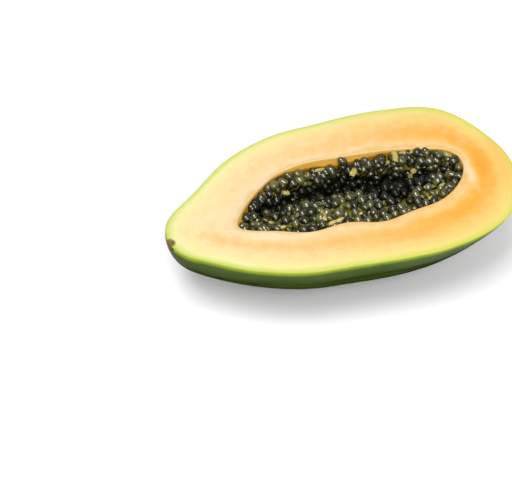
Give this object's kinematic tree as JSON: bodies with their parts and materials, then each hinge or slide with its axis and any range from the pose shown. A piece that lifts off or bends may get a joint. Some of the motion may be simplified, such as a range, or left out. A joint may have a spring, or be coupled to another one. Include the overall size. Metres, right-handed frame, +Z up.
{
  "type": "papaya half",
  "caption": "Half a papaya cut lengthwise, lying on its green skin, with pale orange flesh and a hollow lined with dark seeds.",
  "frame": {"origin": "on the flat spot that the fruit rests on, at the middle of the fruit's length", "axes": "+X along the fruit from its pointed blossom end to its blunt stem end, +Y across it, +Z up out of the level cut face"},
  "size_m": [0.2281, 0.1205, 0.0621],
  "materials": {
    "skin_and_flesh": "waxy green skin with a lime edge round moist flesh, cream by the skin and by the hollow, orange between",
    "seeds": "wet and glossy, near-black with olive patches"
  },
  "bodies": {
    "root": {"papaya_half": "skin_and_flesh", "seeds": "seeds"}
  },
  "joints": []
}
